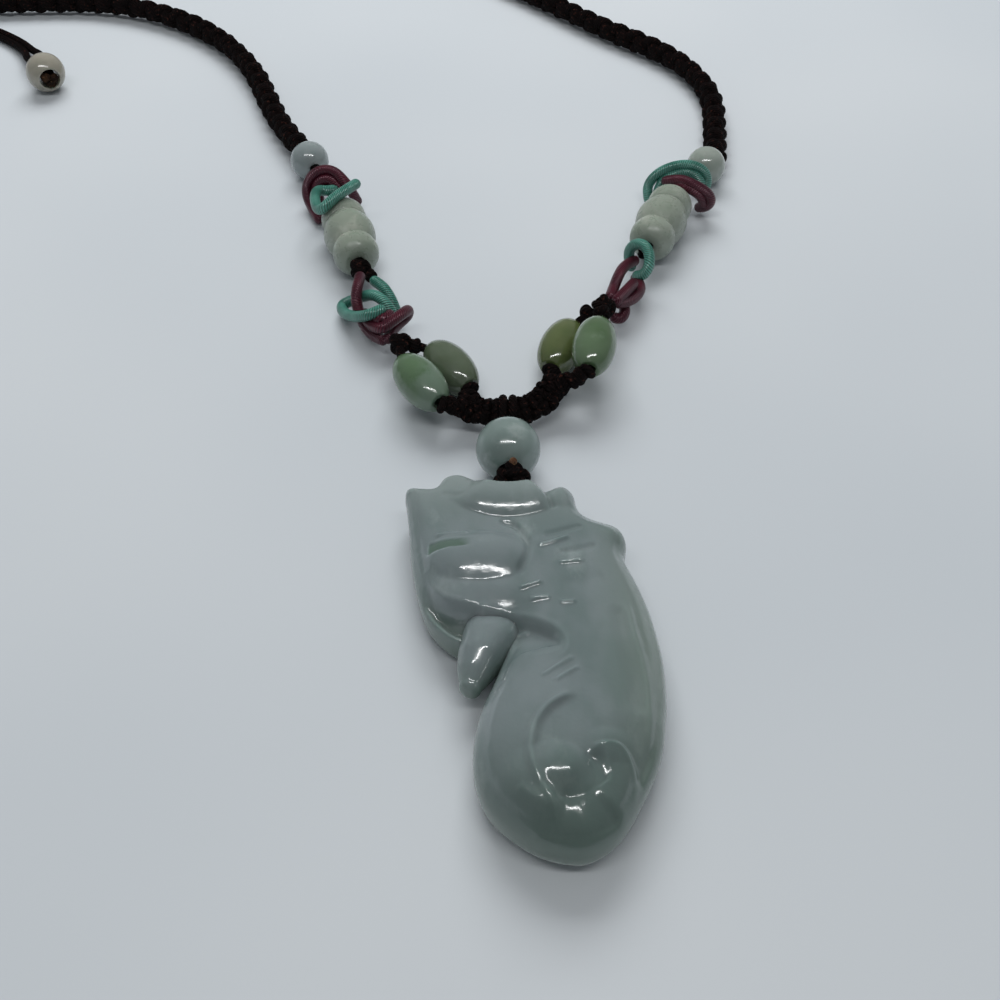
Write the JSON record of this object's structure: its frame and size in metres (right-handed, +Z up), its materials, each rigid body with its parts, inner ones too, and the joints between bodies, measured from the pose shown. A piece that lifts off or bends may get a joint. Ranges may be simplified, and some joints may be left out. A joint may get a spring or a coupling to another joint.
{
  "type": "jade dragon pendant necklace",
  "caption": "Carved jade dragon pendant on a dark braided cord necklace with jade beads, coloured silk loops and a sliding knot, laid out flat.",
  "frame": {"origin": "on the pendant's flat back, where it rests on the table, 3 mm to the right of the string's line and 22.8 mm from the foot of the carving", "axes": "+Z up from the table, +Y from the pendant's foot towards the back of the neck, +X to the right"},
  "size_m": [0.1623, 0.2257, 0.0105],
  "materials": {
    "pendant_jade": "polished",
    "round_jade": "polished",
    "green_jade": "polished",
    "pale_jade": "polished",
    "dark_cord": "braided nylon cord",
    "burgundy_silk": "wrapped silk cord",
    "teal_silk": "wrapped silk cord"
  },
  "bodies": {
    "root": {"barrel_bead_left_lower": "green_jade", "barrel_bead_left_upper": "green_jade", "barrel_bead_right_lower": "green_jade", "barrel_bead_right_upper": "green_jade", "braid_left": "dark_cord", "braid_right": "dark_cord", "burgundy_knot_lower_left": "burgundy_silk", "burgundy_knot_lower_right": "burgundy_silk", "burgundy_loop_upper_left": "burgundy_silk", "burgundy_loop_upper_right": "burgundy_silk", "core_thread_left": "dark_cord", "core_thread_right": "dark_cord", "dragon_pendant": "pendant_jade", "drop_cord": "dark_cord", "end_bead_left": "round_jade", "end_bead_right": "round_jade", "front_band": "dark_cord", "joining_knot_left": "dark_cord", "joining_knot_right": "dark_cord", "link_cords_left": "dark_cord", "link_cords_right": "dark_cord", "main_bead": "round_jade", "ribbed_bead_left": "pale_jade", "ribbed_bead_right": "pale_jade", "side_bead_left": "round_jade", "side_bead_right": "round_jade", "sliding_knot": "dark_cord", "tail_cords_left": "dark_cord", "tail_cords_right": "dark_cord", "teal_knot_lower_left": "teal_silk", "teal_knot_lower_right": "teal_silk", "teal_loop_upper_left": "teal_silk", "teal_loop_upper_right": "teal_silk"}
  },
  "joints": []
}
